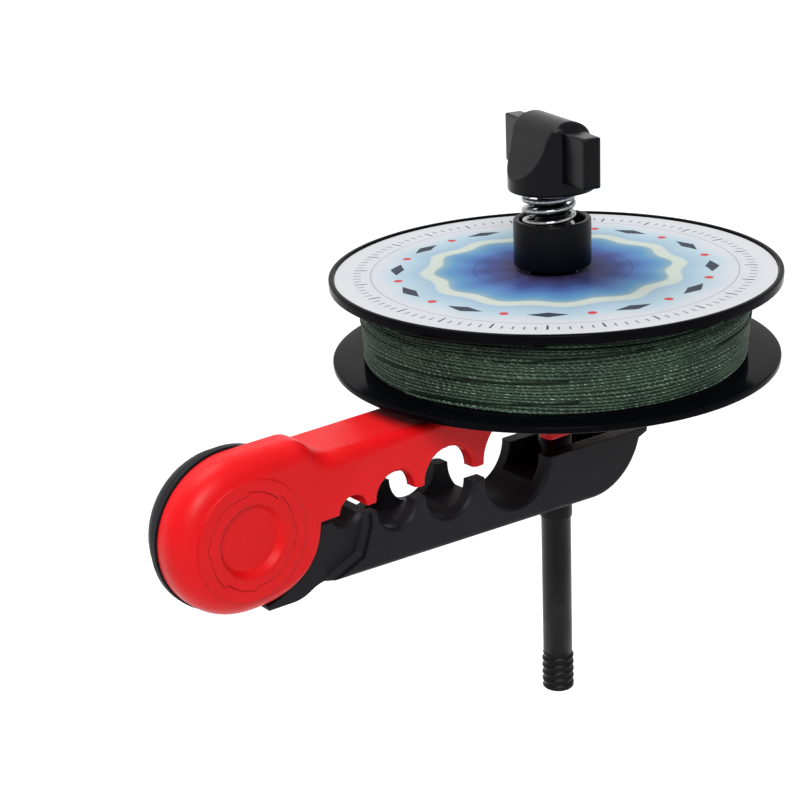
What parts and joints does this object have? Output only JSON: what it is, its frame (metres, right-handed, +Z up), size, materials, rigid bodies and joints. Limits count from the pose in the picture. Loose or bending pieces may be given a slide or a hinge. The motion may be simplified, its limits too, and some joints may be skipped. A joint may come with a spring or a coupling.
{
  "type": "fishing line winder",
  "caption": "Rod-clamping line winder: hinged notched jaws carry an upright spindle with a spool of braided line under a sprung cup and winged knob.",
  "frame": {"origin": "on the axis of the rod seat, midway across the jaws", "axes": "+X from the hub to the spindle, +Y along the rod away from the capped face, +Z up the spindle"},
  "size_m": [0.1487, 0.095, 0.1322],
  "materials": {
    "red_plastic": "satin",
    "black_plastic": "matte",
    "spool_plastic": "gloss",
    "printed_label": "satin print",
    "braided_line": "braided",
    "bright_steel": "bright",
    "zinc_steel": "plated",
    "brass": "turned",
    "spindle_black": "satin",
    "knob_black": "satin"
  },
  "bodies": {
    "upper_jaw": {"upper_jaw": "red_plastic", "hub_cap": "red_plastic", "pivot_sleeve": "brass", "pivot_screw": "zinc_steel", "screw_washer": "zinc_steel", "nut_washer": "zinc_steel", "pivot_nut": "zinc_steel", "torsion_spring": "bright_steel", "spindle": "spindle_black", "retaining_ring": "zinc_steel", "spool_seat": "black_plastic", "drag_spring": "bright_steel"},
    "lower_jaw": {"lower_jaw": "black_plastic"},
    "spool": {"spool_lower_flange": "spool_plastic", "spool_core": "spool_plastic", "spool_upper_flange": "spool_plastic", "spool_label": "printed_label", "line_winding": "braided_line", "centring_cup": "knob_black", "cup_washer": "zinc_steel"},
    "spring_washer": {"spring_washer": "zinc_steel"},
    "knob": {"knob": "knob_black", "knob_insert": "brass"}
  },
  "joints": [
    {"name": "jaw_hinge", "type": "hinge", "parent": "upper_jaw", "child": "lower_jaw", "pos_m": [-0.0237, 0, 0.0012], "axis": [0, 1, 0], "range_deg": [-2.4, 8], "stiffness_Nm_per_rad": 0.35, "springref_deg": -1.15},
    {"name": "spool_spin", "type": "hinge", "parent": "upper_jaw", "child": "spool", "pos_m": [0.061, 0, 0.025], "axis": [0, 0, 1], "continuous": true},
    {"name": "knob_travel", "type": "slide", "parent": "upper_jaw", "child": "spring_washer", "axis": [0, 0, 1], "range_m": [-0.0025, 0.006], "deforming": ["drag_spring"]},
    {"name": "knob_turn", "type": "hinge", "parent": "spring_washer", "child": "knob", "pos_m": [0.061, 0, 0.055], "axis": [0, 0, 1], "range_deg": [-514, 1234]}
  ],
  "couplings": [
    {"joint": "knob_travel", "follows": "knob_turn", "m_per_rad": 0.00027852}
  ]
}
